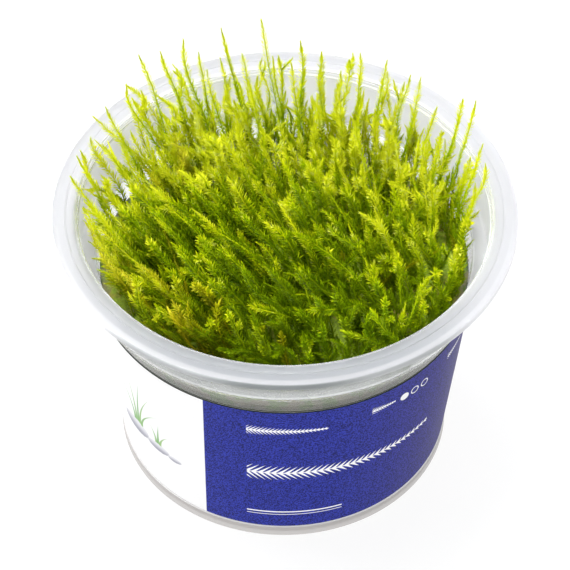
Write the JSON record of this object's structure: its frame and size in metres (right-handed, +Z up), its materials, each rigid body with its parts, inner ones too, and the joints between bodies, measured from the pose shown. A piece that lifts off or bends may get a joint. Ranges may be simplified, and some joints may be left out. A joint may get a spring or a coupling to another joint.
{
  "type": "tissue culture moss in a cup",
  "caption": "Clear wide-rimmed plastic cup with a wrap label, filled with dense upright spiky aquarium moss that stands above the rim.",
  "frame": {"origin": "on the cup's axis, in the plane that its foot ring rests on", "axes": "+Z up along the cup's axis, the label's front faces -Y"},
  "size_m": [0.1, 0.1, 0.0905],
  "materials": {
    "clear_cup": "translucent, softly glossy",
    "label_film": "satin printed film",
    "growing_gel": "moist, cloudy gel",
    "old_moss": "moist, leafy",
    "new_moss": "moist, leafy, slightly translucent"
  },
  "bodies": {
    "root": {"cup": "clear_cup", "label": "label_film", "nutrient_gel": "growing_gel", "moss_cushion": "old_moss", "leading_shoot_01": "new_moss", "leading_shoot_02": "new_moss", "leading_shoot_03": "new_moss", "leading_shoot_04": "new_moss", "leading_shoot_05": "new_moss", "leading_shoot_06": "new_moss", "leading_shoot_07": "new_moss", "leading_shoot_08": "new_moss", "leading_shoot_09": "new_moss", "leading_shoot_10": "new_moss", "leading_shoot_11": "new_moss", "leading_shoot_12": "new_moss", "leading_shoot_13": "new_moss", "leading_shoot_14": "new_moss", "leading_shoot_15": "new_moss", "leading_shoot_16": "new_moss", "leading_shoot_17": "new_moss", "leading_shoot_18": "new_moss", "leading_shoot_19": "new_moss", "leading_shoot_20": "new_moss", "leading_shoot_21": "new_moss", "leading_shoot_22": "new_moss", "leading_shoot_23": "new_moss", "leading_shoot_24": "new_moss", "leading_shoot_25": "new_moss", "leading_shoot_26": "new_moss", "leading_shoot_27": "new_moss", "leading_shoot_28": "new_moss", "leading_shoot_29": "new_moss", "leading_shoot_30": "new_moss", "leading_shoot_31": "new_moss", "leading_shoot_32": "new_moss", "leading_shoot_33": "new_moss", "leading_shoot_34": "new_moss", "leading_shoot_35": "new_moss", "leading_shoot_36": "new_moss"}
  },
  "joints": []
}
